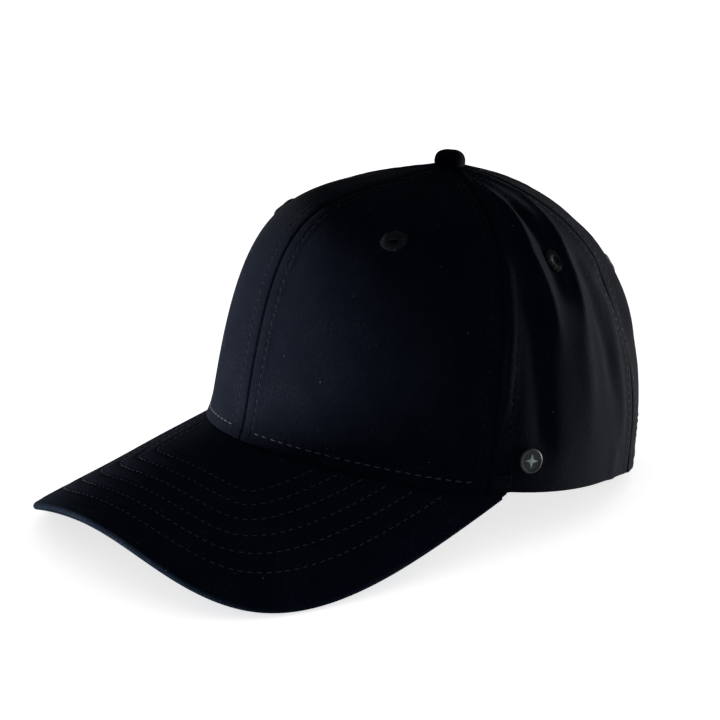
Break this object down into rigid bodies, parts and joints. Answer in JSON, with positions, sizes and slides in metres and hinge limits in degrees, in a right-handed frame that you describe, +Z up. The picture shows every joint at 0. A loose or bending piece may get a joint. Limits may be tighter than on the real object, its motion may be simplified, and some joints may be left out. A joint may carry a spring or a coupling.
{
  "type": "baseball cap",
  "caption": "Six-panel baseball cap with a structured front, curved stitched visor, covered button, vent eyelets, metal side badge and a two-strap snap closure.",
  "frame": {"origin": "centre of the cap's footprint on the surface that it stands on, with the cap standing on its visor's side edges and its back rim", "axes": "+Z up, -Y towards the visor's front, +X towards the wearer's left"},
  "size_m": [0.172, 0.2698, 0.1402],
  "materials": {
    "crown_twill": "cotton twill, brushed",
    "visor_twill": "cotton twill with stitch rows",
    "button_twill": "cotton twill, stretched over the shell",
    "eyelet_thread": "satin embroidery thread",
    "buckram": "open woven stiffener",
    "seam_tape": "plain woven tape",
    "band_foam": "thin foam and fleece",
    "band_cloth": "plain cotton",
    "visor_board": "moulded board",
    "facing_cloth": "bias-cut cotton",
    "hardware": "plain stamped steel",
    "badge_metal": "satin grey paint on a stamped disc",
    "badge_emblem": "bright satin",
    "label_cloth": "woven satin, blank",
    "snap_plastic": "moulded, satin"
  },
  "bodies": {
    "crown": {"front_panel_left": "crown_twill", "front_panel_right": "crown_twill", "side_panel_left": "crown_twill", "side_panel_right": "crown_twill", "back_panel_left": "crown_twill", "back_panel_right": "crown_twill", "buckram_left": "buckram", "buckram_right": "buckram", "eyelet_front_left": "eyelet_thread", "eyelet_front_right": "eyelet_thread", "eyelet_side_left": "eyelet_thread", "eyelet_side_right": "eyelet_thread", "eyelet_back_left": "eyelet_thread", "eyelet_back_right": "eyelet_thread", "tape_centre_front": "seam_tape", "tape_centre_back": "seam_tape", "tape_side_front_left": "seam_tape", "tape_side_front_right": "seam_tape", "tape_side_back_left": "seam_tape", "tape_side_back_right": "seam_tape", "sweatband_foam": "band_foam", "sweatband_face": "band_cloth", "visor_top_cover": "visor_twill", "visor_board": "visor_board", "visor_under_cover": "visor_twill", "opening_facing": "facing_cloth", "button_cover": "button_twill", "button_shell": "hardware", "button_rivet": "hardware", "button_washer": "hardware", "badge_face": "badge_metal", "badge_emblem": "badge_emblem", "badge_post": "hardware", "badge_washer": "hardware", "blank_label": "label_cloth", "strap_anchor_left": "snap_plastic", "strap_anchor_right": "snap_plastic"},
    "outer_strap": {"strap_outer": "snap_plastic"},
    "inner_strap": {"strap_inner": "snap_plastic"}
  },
  "joints": [
    {"name": "outer_strap_bend", "type": "hinge", "parent": "crown", "child": "outer_strap", "pos_m": [0.0356, 0.12014, 0.01474], "axis": [0, -0.1908, -0.9816], "range_deg": [0, 40], "stiffness_Nm_per_rad": 0.02},
    {"name": "inner_strap_bend", "type": "hinge", "parent": "crown", "child": "inner_strap", "pos_m": [-0.0356, 0.12014, 0.01474], "axis": [0, -0.1908, -0.9816], "range_deg": [0, 30], "stiffness_Nm_per_rad": 0.02}
  ]
}
